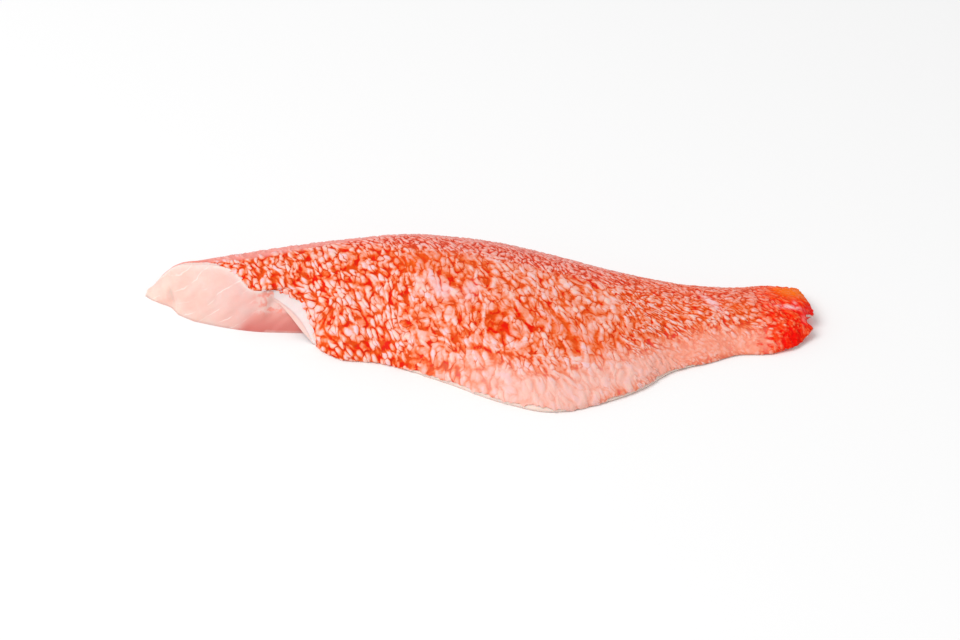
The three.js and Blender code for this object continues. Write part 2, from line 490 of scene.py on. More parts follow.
def scale_pockets(kind):
    """Group that lays bent, uneven scale pockets over the skin's (along, across) millimetres."""
    tree, bench, given, out = new_group(
        "Scale pockets", "Lie Pitch Stretch Lean Softness", "Dome Crease", kind
    )
    turned = bench.add(
        "ShaderNodeVectorRotate", {"Vector": given["Lie"], "Angle": given["Lean"]}, rotation_type="Z_AXIS"
    ).outputs[0]
    length = bench.times(given["Pitch"], given["Stretch"])
    cell = bench.add("ShaderNodeCombineXYZ", {0: length, 1: given["Pitch"], 2: 1}).outputs[0]
    straight = bench.vector("DIVIDE", turned, cell)
    laid = bench.drift(straight, straight, 0.75, POCKET_BEND, 2, 0.6)
    uneven = {"Vector": laid, "Scale": 1, "Randomness": 1}
    pocket, edge = (
        bench.add("ShaderNodeTexVoronoi", uneven, voronoi_dimensions="2D", feature=feature).outputs
        for feature in ("F1", "DISTANCE_TO_EDGE")
    )
    from_border = bench.ramp(edge["Distance"], *BORDER_RISE)
    rounded = bench.blend(MIDDLE_SHARE, from_border, bench.ramp(pocket["Distance"], *MIDDLE_RISE))
    own = bench.ramp(bench.parts(pocket["Color"])[0], *OWN_HEIGHT)
    from_middle = bench.parts(bench.vector("SUBTRACT", laid, pocket["Position"]))
    tailward = bench.math("ADD", from_middle[0], from_middle[1])
    # Painted light and shade: pockets paler on their head side, darker toward their tail side; it also tilts
    # the relief.
    full = bench.times(rounded, own, bench.ramp(tailward, *TAILWARD_PAINTED_SHADE))
    wave = bench.swing(bench.noise(laid, 0.55, 1), 1)
    puff = bench.ramp(bench.math("ABSOLUTE", wave), *PUFF_RISE)
    broken = bench.ramp(bench.noise(laid, 0.6, 1), *CREASE_BREAKS)
    thin = bench.ramp(edge["Distance"], *CREASE_WIDTH)
    # Creases on the pockets' tail-side rims: partly the skin's own dark lines, partly painted shade.
    crease = bench.times(thin, bench.ramp(tailward, *CREASE_SHADE_SIDE), broken)
    fill(out, {"Dome": bench.blend(given["Softness"], full, puff), "Crease": crease})
    return tree


def pockets_of(pitch, stretch, lean, softness):
    """One kind of pockets: their pitch in millimetres, stretch, lean in degrees, and softness."""
    return {"Pitch": pitch, "Stretch": stretch, "Lean": math.radians(lean), "Softness": softness}


HEAD_POCKETS = pockets_of(1.9, 2.2, 66, 0.42)
BELLY_POCKETS = pockets_of(2.1, 2.1, 74, 0.5)
LARGE_POCKETS = pockets_of(4.4, 2.3, 60, 0.45)
BACK_POCKETS = pockets_of(1.35, 1.8, 56, 0.5)
TAIL_POCKETS = pockets_of(1.3, 1.6, 27, 0.6)

# How the pockets' rows wander: (waves per millimetre, millimetres of wandering), from wide to fine.
ROW_WANDER = ((0.045, 9), (0.17, 2.4))

# The share of large pockets on the belly, how weak its creases are, and how ragged the places' borders are.
LARGE_SHARE = 0.4
BELLY_CREASE = 0.7
PLACE_SWING = 1.5
PLACE_EDGE = (0.42, 0.58)


def skin_relief(kind):
    """Group that gives each place on the skin its own kind of pockets."""
    tree, bench, given, out = new_group("Skin relief", "Lie Head Back Tail", "Dome Crease", kind)
    pockets = scale_pockets(kind)
    lie = given["Lie"]
    for waves, reach in ROW_WANDER:
        lie = bench.drift(lie, given["Lie"], waves, reach)
    belly, large, *others = (
        bench.group(pockets, Lie=lie, **values)
        for values in (BELLY_POCKETS, LARGE_POCKETS, HEAD_POCKETS, BACK_POCKETS, TAIL_POCKETS)
    )
    patchy = bench.noise(given["Lie"], 0.22)
    places = [
        bench.ramp(bench.swing(patchy, PLACE_SWING, given[name]), *PLACE_EDGE)
        for name in ("Head", "Back", "Tail")
    ]
    for name, value in (
        ("Dome", bench.blend(LARGE_SHARE, belly["Dome"], large["Dome"])),
        ("Crease", bench.times(belly["Crease"], BELLY_CREASE)),
    ):
        for place, other in zip(places, others):
            value = bench.blend(place, value, other[name])
        fill(out, {name: value})
    return tree


def muscle_lines():
    """Group for the fine pale lines between flakes of flesh, which wander and fade."""
    tree, bench, given, out = new_group("Muscle lines", "Place Run Pitch Fineness", "Line Flake")
    wandering = bench.math("MULTIPLY_ADD", bench.noise(given["Place"], 0.09, 3), 9, given["Run"])
    flake = bench.math("PINGPONG", bench.math("DIVIDE", wandering, given["Pitch"]), 0.5)
    faded = bench.ramp(bench.noise(given["Place"], 0.16), 0.42, 0.62)
    line = bench.times(bench.ramp(flake, given["Fineness"], 0), faded)
    fill(out, {"Line": line, "Flake": bench.ramp(flake, 0, 0.5)})
    return tree


def wet_film():
    """Group for a wet surface: gloss that comes and goes, and a fine unevenness under it."""
    tree, bench, given, out = new_group("Wet film", "Place Dry Wet", "Roughness Grain")
    pools = bench.ramp(bench.noise(given["Place"], 0.22, 3), 0.35, 0.65)
    grain = bench.noise(given["Place"], 2.4, 3, 0.6)
    fill(out, {"Roughness": bench.blend(pools, given["Dry"], given["Wet"]), "Grain": grain})
    return tree


def new_material(name, settings):
    """Empty material with its bench, its shader and its place in millimetres."""
    material = bpy.data.materials.new(name)
    material.use_nodes = True
    tree = material.node_tree
    tree.nodes.clear()
    bench = Bench(tree, settings)
    place = bench.vector("SCALE", bench.add("ShaderNodeTexCoord").outputs["Object"], Scale=1 / MM)
    shader = tree.nodes.new("ShaderNodeBsdfPrincipled")
    end = tree.nodes.new("ShaderNodeOutputMaterial")
    shader.location, end.location = (2600, 0), (2900, 0)
    fill(end, {"Surface": shader.outputs[0]})
    return material, bench, shader, place


DRY_ROUGHNESS = 0.5
WET_ROUGHNESS = 0.3


def wet_finish(bench, shader, place, form, shares, bump):
    """Gives the shader the wet film's gloss, and a bump from shares of its grain and of the form."""
    film = bpy.data.node_groups.get("Wet film") or wet_film()
    film = bench.group(film, Place=place, Dry=DRY_ROUGHNESS, Wet=WET_ROUGHNESS)
    height = bench.math("MULTIPLY_ADD", film["Grain"], shares[0], bench.times(form, shares[1]))
    bump = bench.add("ShaderNodeBump", {**bump, "Height": height}).outputs[0]
    fill(shader, {"Roughness": film["Roughness"], "Normal": bump})


def mask(bench, name):
    """Socket of a mask, or of the skin's lie, stored on the mesh."""
    node = bench.add("ShaderNodeAttribute", attribute_type="GEOMETRY", attribute_name=name)
    return node.outputs["Vector" if name == "lie" else "Fac"]


# ---- flesh

FLESH_ALONG = 200
FLESH_ACROSS = 116
FLESH_UP = 16

# The corner where the flap meets the thick flesh is rounded.
CORNER_X, CORNER_Y = -77, 9
CORNER_REACH = 7
CORNER_PASSES = 30

# How far behind the head cut the skin starts: furthest near the head tip. It hangs over the flap's cut end.
skin_start = curve_through(
    (-124, 1), (-121, 1.5), (-118, 3), (-114, 8), (-109, 9), (-104.5, 7), (-100, 4), (-96, 2), (-91, 1),
    (-77, 1), (-71, -0.6), (-63, -1), (-60.5, 0.2), (-59, 1),
)

# How far the pale brim reaches under the skin, and the value of the flap rim's mask at its foot.
BRIM = 2
RIM_FOOT = 0.35

# A shallow cleft in the cut face, beside the small lobe at the head tip.
CLEFT_PLACE = -112.3
CLEFT_LEAN = -0.25
CLEFT_HALF = 1.0
CLEFT_DEPTH = 1.3

OFF_FLOOR = 0.05


def soften(points, faces, weight):
    """Averages the points with their neighbours, as far as each one's weight says."""
    ends = np.concatenate([faces, np.roll(faces, -1, axis=1)], axis=1).reshape(len(faces), 2, 4)
    start, end = ends[:, 0].ravel(), ends[:, 1].ravel()
    count = np.bincount(start, minlength=len(points))[:, None]
    for _ in range(CORNER_PASSES):
        near = np.stack([np.bincount(start, points[end, axis], len(points)) for axis in range(3)], 1)
        points = lerp(points, near / count, 0.5 * weight[:, None])
    return points


def flesh_parts(bed):
    """Points, faces and masks of the flesh: the closed form, a little under the skin."""
    steps = np.array([FLESH_ALONG, FLESH_ACROSS, FLESH_UP])
    grid = np.indices(steps + 1).reshape(3, -1).T
    shell = ((grid == 0) | (grid == steps)).any(1)
    number = np.full(len(grid), -1)
    number[shell] = np.arange(shell.sum())
    number = number.reshape(steps + 1)
    u, v, w = (grid[shell] / steps).T
    points = fillet_point(u, v, w)
    start = skin_cut(skin_cut_length(v))[0]
    behind_cut = u * (tail_end(v) - start)
    bare = np.maximum(skin_start(start), 0)
    flap = (u == 0) & (v < FLAP_END)
    points[:, 2] -= bed * ease(w, 0.3, 1) * ease(behind_cut, 0, bare + 0.5)
    points[:, 1] += bed * (v == 0) - bed * (v == 1)
    points[:, 0] -= bed * ease(w, 0, 0.3) * (u == 1)
    points[:, 0] += bed * ease(w, 0.4, 0.6) * flap
    faces = (
        quads(number[0], True) + quads(number[-1]) + quads(number[:, 0]) + quads(number[:, -1], True)
        + quads(number[:, :, 0], True) + quads(number[:, :, -1])
    )
    inside = (w == 0) & (v < WALL_END) & (points[:, 2] > OFF_FLOOR)
    cut = (u == 0) & (v >= FLAP_END)
    brim = behind_cut < bare + BRIM
    corner = np.exp(-((points[:, 0] - CORNER_X) ** 2 + (points[:, 1] - CORNER_Y) ** 2) / CORNER_REACH**2)
    points = soften(points, np.array(faces), corner * (w < 0.7) * (points[:, 2] > OFF_FLOOR))
    x, _, z = points.T
    cleft = np.exp(-(((x - CLEFT_PLACE - CLEFT_LEAN * z) / CLEFT_HALF) ** 2)) * (1 - ease(z, 5, 9))
    points -= (CLEFT_DEPTH * cleft * ease(z, 0, 2) * cut)[:, None] * CUT_OUTWARD
    # Painted shade under the flap, on the hollow's wall and the cut face beside it; the flesh there is also
    # darker.
    shaded = ease(x - 0.8 * z, -91, -85) * (1 - ease(z, 5.6, 6.8)) * ease(-x, 6, 28)
    masks = {
        "hollow": shaded * (inside | cut),
        "web": ease(x, -84, -77) * ease(z, 4, 6) * (inside | cut),
        "cut": cut | ((w == 1) & brim),
        "rim": lerp(RIM_FOOT, 1, w) * flap,
        "sole": (w == 0) & ~inside,
        "side": ((v == 0) | (v == 1) | (u == 1)) & (w > 0),
        "brim": ease(w, 0.9, 1) * ((v > FLAP_END) & brim),
    }
    return points, faces, masks


# Where the cut face goes from cream to pink, and the line down the underside's middle.
FACE_REACH = (-118, -76)
MIDLINE_Y = 14.0
MIDLINE_WIDTH = (2.6, 0.2)


def flesh_material(settings):
    material, bench, shader, place = new_material("raw flesh", settings)
    lines = muscle_lines()
    x, y, z = bench.parts(place)
    cut, hollow, web, rim, sole, side, brim = (
        mask(bench, name) for name in "cut hollow web rim sole side brim".split()
    )
    mottle = bench.ramp(bench.noise(place, 0.12, 3), 0.38, 0.66)
    slant = bench.math("MULTIPLY_ADD", z, -1.5, x)
    flakes = bench.group(lines, Place=place, Run=slant, Pitch=6.5, Fineness=0.07)
    face = bench.layers(
        bench.colour(bench.ramp(x, *FACE_REACH), "cream", "pink"),
        (mottle, 0.35, "blush"), (flakes["Line"], 0.6, "white"),
    )

    middle = bench.math("ABSOLUTE", bench.math("SUBTRACT", y, MIDLINE_Y))
    chevron = bench.math("MULTIPLY_ADD", middle, 0.9, x)
    myomeres = bench.group(lines, Place=place, Run=chevron, Pitch=6, Fineness=0.09)
    midline = bench.times(bench.ramp(middle, *MIDLINE_WIDTH), sole)
    body = bench.layers(
        "pink", (mottle, 0.4, "blush"), (myomeres["Line"], 0.7, "white"),
        (midline, 0.4, "shade_and_midline"),
    )

    blotches = bench.ramp(bench.noise(place, 0.32, 3, 0.6), 0.44, 0.6)
    colour = bench.layers(
        body, (cut, face),
        (web, bench.colour(blotches, "inner_rim", "blotch")),
        # The hollow's wall: darker flesh with painted shade under the flap, darkest toward its foot.
        (hollow, bench.colour(bench.ramp(z, 7, 0), "hollow", "shade_and_midline")),
        # Painted contact shadow along the flesh's foot.
        (bench.ramp(z, 0.9, 0.1), 0.35, "shade_and_midline"),
        (side, 0.8, "strip"), (brim, 0.5, "white"),
        (bench.ramp(rim, 0.2, 0.36), "inner_rim"),
        (bench.ramp(rim, 0.5, 0.54), "rim_line"),
        (bench.ramp(rim, 0.54, 0.6), "outer_rim"),
    )
    wet_finish(bench, shader, place, flakes["Flake"], (1, 1.2), {"Strength": 0.5, "Distance": 0.0002})
    fill(shader, {
        "Base Color": colour, "Subsurface Weight": 0.35, "Subsurface Radius": (1, 0.45, 0.35),
        "Subsurface Scale": 0.003, "Specular IOR Level": 0.3,
    })
    return material


# ---- skin

# Rows of the skin's points: down the head cut's face, along the fillet, and down the tail's end.
LIP_ROWS = 8
SKIN_ALONG = 436
END_ROWS = 8
SKIN_ROWS = LIP_ROWS + SKIN_ALONG + END_ROWS + 1
SKIN_ACROSS = 168
RIM_POINTS = 8
TOP_POINTS = 200
BACK_POINTS = 16
RING_POINTS = 260
ROUNDING_PASSES = 4

# How far up the belly rim the skin ends: a strip of flesh shows below it in two stretches.
belly_bare = curve_through(
    (-60, 0.5), (-30, 0.5), (-20, 1.9), (20, 2.3), (27, 1.9), (31, 0.5), (40, 0.5), (44, 1.8),
    (74, 1.6), (82, 0.5), (118, 0.5),
)
BELLY_RAGGED = 0.35
BELLY_SEED = 11
BACK_BARE = 0.9

# How much of the walls at the head cut and at the tail's end those rows reach down.
LIP_COVER = 0.5
END_COVER = 0.8

# How ragged the skin's edge is at the head cut, and the rows over which its points close up.
CUT_RAGGED = 0.9
CUT_SEED = 5
CUT_ROWS = 80


def even_points(line, trim_start, trim_end, count):
    """The line's stretch between the trimmed ends, as evenly spaced points."""
    length = lengths(line)
    at = np.linspace(trim_start, max(length[-1] - trim_end, trim_start + 0.5), count)
    return np.stack([np.interp(at, length, line[:, axis]) for axis in range(3)], -1)


def skin_rings():
    """Rings of even points over the skin, each from its belly edge up and over to its back edge."""
    row = np.arange(SKIN_ROWS)[:, None] - LIP_ROWS
    u = np.clip(row / SKIN_ALONG, 0, 1)
    v = np.concatenate([np.zeros(RIM_POINTS), np.linspace(0, 1, TOP_POINTS), np.ones(BACK_POINTS)])[None]
    down = LIP_COVER * np.maximum(-row, 0) / LIP_ROWS + END_COVER * np.maximum(row - SKIN_ALONG, 0) / END_ROWS
    rise = np.linspace(0, 1, RIM_POINTS, endpoint=False)
    fall = np.linspace(1, 0, BACK_POINTS + 1)[1:]
    w = np.concatenate([rise, np.ones(TOP_POINTS), fall])[None] * (1 - down)
    rings = fillet_point(*np.broadcast_arrays(u, v, w))
    rings = np.array([even_points(ring, 0, 0, RING_POINTS) for ring in rings])
    ends = rings[: 2 * LIP_ROWS], rings[-2 * END_ROWS:]
    for _ in range(ROUNDING_PASSES):
        rings[:, 1:-1] = (rings[:, :-2] + 2 * rings[:, 1:-1] + rings[:, 2:]) / 4
        for end in ends:
            end[1:-1] = (end[:-2] + 2 * end[1:-1] + end[2:]) / 4
    ragged = BELLY_RAGGED * wander(rings[:, 0, 0], BELLY_SEED)
    starts = belly_bare(rings[:, 0, 0]) * (1 + ragged)
    return np.array([
        even_points(ring, max(start, 0.3), BACK_BARE, SKIN_ACROSS + 1) for ring, start in zip(rings, starts)
    ])


def skin_lie(rings):
    """Each point's millimetres along the fillet and across it from the ridge, measured over the skin."""
    x, y, z = np.moveaxis(rings, -1, 0)
    climb = (skin_height(x + 0.5, y) - skin_height(x - 0.5, y))[:, 1:]
    steps = np.hypot(np.diff(y, axis=1), np.diff(z, axis=1) - climb * np.diff(x, axis=1))
    over = np.concatenate([np.zeros((len(rings), 1)), np.cumsum(steps, axis=1)], axis=1)
    past = rings[..., 1] - ridge_line(rings[..., 0])
    at_ridge = np.array([np.interp(0, side, length) for side, length in zip(past, over)])
    lie = np.stack([x, over - at_ridge[:, None], np.zeros_like(over)], -1)
    walls = (slice(0, LIP_ROWS), LIP_ROWS, -1), (slice(-END_ROWS, None), -END_ROWS - 1, 1)
    for wall, edge, toward in walls:
        down = np.linalg.norm(rings[wall] - rings[edge], axis=-1)
        lie[wall] = lie[edge]
        lie[wall, :, 0] += toward * down
    return lie


def draw_back_cut(rings, lie):
    """Ends the skin at a ragged line behind the head cut, or hanging over the flap's cut end."""
    edge = rings[LIP_ROWS]
    behind = skin_start(edge[:, 0]) + CUT_RAGGED * wander(lengths(edge), CUT_SEED)
    steps = np.linalg.norm(np.diff(rings[: CUT_ROWS + 1], axis=0), axis=-1)
    reached = np.concatenate([np.zeros((1, len(edge))), np.cumsum(steps, axis=0)])
    reached -= reached[LIP_ROWS]
    rows = np.arange(CUT_ROWS + 1)
    first = np.array([np.interp(place, column, rows) for place, column in zip(behind, reached.T)])
    row = np.arange(SKIN_ROWS)[:, None]
    moved = row + first * np.clip(1 - row / CUT_ROWS, 0, 1)
    low = np.clip(moved.astype(int), 0, SKIN_ROWS - 2)
    column = np.arange(SKIN_ACROSS + 1)[None]
    return (lerp(grid[low, column], grid[low + 1, column], (moved - low)[..., None]) for grid in (rings, lie))


# Spots of the skin's look in plan, each (x, y, half length, half width, degrees turned, strength).
SPOTS = {
    "pale": (
        (14, -35, 22, 6, -20, 1), (38, -32, 20, 6, 30, 1), (26, -41, 26, 4, 0, 0.8), (58, -22, 14, 5, 35, 1),
    ),
    "peach": (
        (64, -19, 9, 4, 35, 0.6), (76, -10, 13, 5.5, 20, 1), (92, -4, 12, 4.5, 5, 1),
        (103, -3, 6, 3.5, 0, 0.8),
    ),
    "orange": (
        (-24.3, 18.2, 9, 4, -20, 1), (28.4, -8.9, 6, 4, -30, 1), (39.5, -14.9, 6, 4, -30, 0.8),
        (92.5, 11.5, 6, 2.5, 0, 1), (-14, 22, 7, 3, 0, 0.6),
    ),
    "red": (
        (112, -1.3, 4, 3.6, 20, 1), (9, -12.5, 3.5, 1.2, -60, 0.7), (117, 8, 3, 6, 0, 0.5),
        (120, 15, 2, 4, 0, 0.8),
    ),
    # White spots: pale flecks and streaks, on the body partly painted highlights.
    "white": (
        (111.6, 12, 4.5, 0.9, -4, 1), (113.8, 15, 0.8, 1.7, 0, 0.5), (84, 12.2, 5.5, 1.3, -55, 1),
        (116.4, 7.6, 0.9, 1.6, 0, 0.3), (-14.1, 5.9, 4, 2.2, -50, 0.9), (-3.4, 5.2, 2.2, 4, -20, 0.7),
    ),
    "golden": ((112.5, 25, 6, 6, 0, 1), (117, 27, 5, 6, 0, 0.8)),
    "smooth": ((76, -11, 15, 6, 20, 0.85), (93, -5, 14, 5, 5, 0.85), (114, 22, 6, 5, 0, 0.7)),
}


def skin_zones(rings, lie):
    """Masks that say how the skin's look changes over the fillet."""
    x, s = rings[..., 0], lie[..., 1]
    spots = {name: soft_spots(rings, places) for name, places in SPOTS.items()}
    smooth = spots["smooth"] + 0.6 * ease(s, 20, 27) + ease(-x, 92, 102)
    return {
        "head": ease(-x, 12, 38),
        "back": ease(s + 7 * ease(x, -60, -10), -3, 7) * (1 - 0.3 * ease(-x, 60, 100)),
        "tail": ease(x, 35, 62) * (1 - 0.4 * ease(-s, 6, 16)),
        # Painted sheen on the skin's far slope, where it is seen at a grazing angle: rosier and plainer.
        "far_edge": ease(s - 8 * ease(x, -88, -30), -4.5, 0) * (1 - ease(x, 85, 105))
        * (1 - 0.4 * ease(s, 8, 18)) * (1 - 0.4 * ease(x, -30, 10))
        * (1 - 0.5 * ease(x, 45, 75)),
        "ember": ease(x, 93, 112),
        **spots,
        "smooth": np.clip(smooth, 0, 1),
    }


def sheet_parts(outer, thickness):
    """Points and faces of the skin as a thin closed sheet, finer outside than inside."""
    along, over = np.gradient(outer, axis=0), np.gradient(outer, axis=1)
    normal = np.cross(along, over)
    normal /= np.linalg.norm(normal, axis=-1, keepdims=True)
    inner = (outer - normal * thickness)[::2, ::2]
    top = np.arange(outer[..., 0].size).reshape(outer.shape[:2])
    bottom = top.size + np.arange(inner[..., 0].size).reshape(inner.shape[:2])
    faces = quads(top) + quads(bottom, True)
    borders = (
        (top[:, 0], bottom[:, 0], True), (top[:, -1], bottom[:, -1], False),
        (top[0], bottom[0], False), (top[-1], bottom[-1], True),
    )
    for fine, coarse, turned in borders:
        for k in range(len(coarse) - 1):
            face = [fine[2 * k], fine[2 * k + 1], fine[2 * k + 2], coarse[k + 1], coarse[k]]
            faces.append([int(n) for n in (reversed(face) if turned else face)])
    points = np.concatenate([outer.reshape(-1, 3), inner.reshape(-1, 3)])
    return points, faces


# Masks that choose the pockets, masks that only colour the skin, and the relief left where it is smooth.
PLACES = "lie head back tail".split()
TINTED = "far_edge pale peach ember orange red white golden".split()
SMOOTH_RELIEF = 0.2


def swell_pockets(piece, settings):
    """Geometry nodes that swell the skin along its normals by its pockets."""
    kind = "GeometryNodeTree"
    tree, bench, given, out = new_group("Swell pockets", "Geometry", "Geometry", kind)

    def stored(name):
        what = VECTOR if name == "lie" else "FLOAT"
        return bench.add("GeometryNodeInputNamedAttribute", {"Name": name}, data_type=what).outputs[0]

    relief = bench.group(skin_relief(kind), **{name.title(): stored(name) for name in PLACES})
    height = bench.math("SUBTRACT", relief["Dome"], settings.sunk)
    flatter = bench.ramp(stored("smooth"), 0, 1, 1, SMOOTH_RELIEF)
    rise = bench.times(height, flatter, stored("outer"), settings.relief)
    offset = bench.vector("SCALE", bench.add("GeometryNodeInputNormal").outputs[0], Scale=rise)
    moved = bench.add("GeometryNodeSetPosition", {"Geometry": given[0], "Offset": offset})
    fill(out, {0: moved.outputs[0]})
    piece.modifiers.new("Swell pockets", "NODES").node_group = tree


# Paleness of the skin, from 0 deep between the pockets to 1 on their tops: its start, what pockets, creases
# and spots add, how far patches and grain swing it, and what each zone adds.
PALENESS = -0.25
DOME_PALENESS = 1.5
# Creases darken the skin partly as its own dark lines and partly as painted shade.
CREASE_PALENESS = -0.4
SPOT_PALENESS = -0.2
PATCH_SWING = 0.6
GRAIN_SWING = 0.5
# The white spots' added paleness is partly painted highlight.
ZONE_PALENESS = (("orange", -0.08), ("red", -0.5), ("white", 0.25), ("pale", 0.35), ("tail", -0.04))

# Toward the tail the paleness is drawn to this value, by this share, and swings in wider patches.
TAIL_PALENESS = 0.22
TAIL_EVEN = 0.42
TAIL_SWING = 1.1

# How ragged the borders of the tail's colour and of the painted sheen along the far edge are.
EMBER_SWING = 2.4
EDGE_SWING = 1.4


def skin_paleness(bench, read, relief, spread):
    """Paleness of the skin: from its pockets, in patches and spots, with a fine grain."""
    lie = read["lie"]
    spots = bench.ramp(bench.noise(lie, 0.3, 1), 0.6, 0.7)
    paleness = bench.math("MULTIPLY_ADD", relief["Dome"], DOME_PALENESS, PALENESS)
    paleness = bench.swing(bench.noise(lie, 0.12), PATCH_SWING, paleness)
    paleness = bench.swing(bench.noise(lie, 1, 2, 0.6), GRAIN_SWING, paleness)
    zones = ((read[name], shift) for name, shift in ZONE_PALENESS)
    for value, shift in ((relief["Crease"], CREASE_PALENESS), (spots, SPOT_PALENESS), *zones):
        paleness = bench.math("MULTIPLY_ADD", value, shift, paleness)
    even = bench.times(bench.math("SUBTRACT", TAIL_PALENESS, paleness), TAIL_EVEN)
    return bench.math("MULTIPLY_ADD", bench.swing(spread, TAIL_SWING, even), read["tail"], paleness)


def skin_material(settings):
    material, bench, shader, place = new_material("wet redfish skin", settings)
    read = {name: mask(bench, name) for name in PLACES + TINTED}
    kinds = skin_relief("ShaderNodeTree")
    relief = bench.group(kinds, **{name.title(): read[name] for name in PLACES})
    dome = relief["Dome"]
    spread = bench.noise(read["lie"], 0.35, 3, 0.6)
    paleness = skin_paleness(bench, read, relief, spread)

    hue = bench.noise(read["lie"], 0.26)
    darkest = bench.colour(bench.ramp(hue, 0.44, 0.56), "rust", "red")
    lightest = bench.colour(bench.ramp(hue, 0.4, 0.6), "pearl_and_highlight", "pearl_peach")
    belly = bench.tones(
        paleness, (-0.05, darkest), (0.08, "red_orange"), (0.22, "orange"),
        (0.42, "salmon"), (0.66, "pale"), (0.95, lightest),
    )
    back = bench.tones(
        paleness, (0, "brick"), (0.18, "rose"), (0.4, "coral"),
        (0.85, "dusky"),
    )
    tail = bench.tones(
        paleness, (0.05, "scarlet"), (0.4, "ember"), (0.75, "ember_pocket"),
        (1.1, "pale"),
    )
    rosier = bench.times(read["back"], bench.ramp(read["tail"], 0, 1, 0.8, 0.5))
    ember = bench.ramp(bench.swing(spread, EMBER_SWING, read["ember"]), 0, 1)
    ember = bench.times(ember, bench.ramp(read["ember"], 0, 0.3))
    plain = bench.math("MAXIMUM", bench.math("MAXIMUM", read["far_edge"], read["pale"]), read["peach"])
    # Crease colour on the tail-side rims: partly the skin's own dark lines, partly painted shade.
    crease_shade_mask = bench.times(
        relief["Crease"], bench.ramp(read["white"], 0, 0.5, 0.6, 0.1),
        bench.ramp(plain, 0, 1, 1, 0.35),
    )
    # Painted sheen along the far edge, with a ragged border, weaker on pale pockets.
    ragged = bench.ramp(bench.swing(spread, EDGE_SWING, read["far_edge"]), 0.1, 0.7)
    far_edge = bench.times(read["far_edge"], ragged, bench.ramp(paleness, 0, 1, 0.85, 0.45))
    colour = bench.layers(
        belly, (rosier, back), (ember, tail), (crease_shade_mask, "crease"),
        (read["pale"], 0.66, "pale_belly"),
        (bench.times(read["peach"], bench.ramp(ember, 1, 0)), 0.7, "peach"),
        (far_edge, "rosy_sheen"), (read["golden"], 0.9, "golden"),
        (read["orange"], 0.5, "amber"), (read["red"], 0.75, "scarlet"),
        # Pearl on the white spots' pocket tops: partly pale flecks, partly painted highlight.
        (bench.times(read["white"], bench.ramp(dome, 0.1, 0.45, 0.2, 0.85)), "pearl_and_highlight"),
    )
    wet_finish(bench, shader, place, dome, (0.5, 2), {"Strength": 0.6, "Distance": 0.00012})
    wet = bench.times(bench.ramp(dome, 0.5, 0.9), bench.ramp(read["ember"], 0, 1, 0.3, 0.05))
    fill(shader, {
        "Base Color": colour, "Coat Weight": wet, "Coat Roughness": 0.22, "Subsurface Weight": 0.06,
        "Subsurface Radius": (1, 0.35, 0.25), "Subsurface Scale": 0.0005, "Specular IOR Level": 0.05,
    })
    return material


# ---- settings


def tint(name, description, *display):
    """Colour setting whose default is given as a display colour."""
    return FloatVectorProperty(
        name=name, description=description, subtype="COLOR", min=0, max=1, default=shade(*display)
    )


def size(name, description, millimetres):
    return FloatProperty(
        name=name, description=description, default=millimetres * MM, min=0, subtype="DISTANCE",
        unit="LENGTH", precision=5,
    )


class SkinSettings(bpy.types.PropertyGroup):
    """Sizes and colours of the skin"""

    thickness: size("Thickness", "Thickness of the skin", 0.8)
    relief: size("Relief", "Height of a full scale pocket", 0.6)
    sunk: FloatProperty(
        name="Sunk", description="Share of the relief that lies below the smooth skin", default=0.3,
        min=0, max=1, subtype="FACTOR",
    )
    # Pearl is the palest pocket tone; laid on the white spots' tops it is partly painted highlight.
    pearl_and_highlight: tint("Pearl", "Largest pockets and pearly streaks", 243, 200, 206)
    pale: tint("Pale", "Pale scale pockets", 246, 178, 164)
    pearl_peach: tint("Peach pearl", "Largest pockets where they are warmer", 247, 202, 186)
    salmon: tint("Salmon", "Middle tone of the skin", 244, 147, 117)
    orange: tint("Orange", "Between the pockets", 240, 112, 61)
    red_orange: tint("Red-orange", "Deeper between the pockets", 232, 84, 26)
    rust: tint("Rust", "Deepest between the pockets", 224, 74, 14)
    red: tint("Red", "Red spots between the pockets", 230, 22, 0)
    dusky: tint("Dusky", "Pockets of the back", 243, 168, 157)
    # Painted sheen along the far edge, where the skin is seen at a grazing angle.
    rosy_sheen: tint("Rosy", "Smoother skin along the far edge", 240, 158, 150)
    coral: tint("Coral", "Middle tone of the back", 240, 134, 118)
    rose: tint("Rose", "Between the pockets of the back", 232, 100, 78)
    brick: tint("Brick", "Deepest between the pockets of the back", 210, 64, 44)
    # Crease colour: partly the skin's own thin dark lines, partly painted shade on the pockets' tail-side
    # rims.
    crease: tint("Crease", "Thin brown creases at the pockets' rims", 184, 50, 16)
    pale_belly: tint("Pale belly", "Belly along its edge", 244, 186, 172)
    peach: tint("Peach", "Smooth skin under the tail stem", 250, 164, 141)
    scarlet: tint("Scarlet", "Pure red at the tail", 248, 14, 4)
    ember: tint("Ember", "Orange-red of the tail", 248, 66, 16)
    ember_pocket: tint("Ember pocket", "Scale pockets of the tail", 250, 116, 72)
    golden: tint("Golden", "Upper corner of the tail", 255, 116, 0)
    amber: tint("Amber", "Orange patches without pockets", 242, 98, 28)


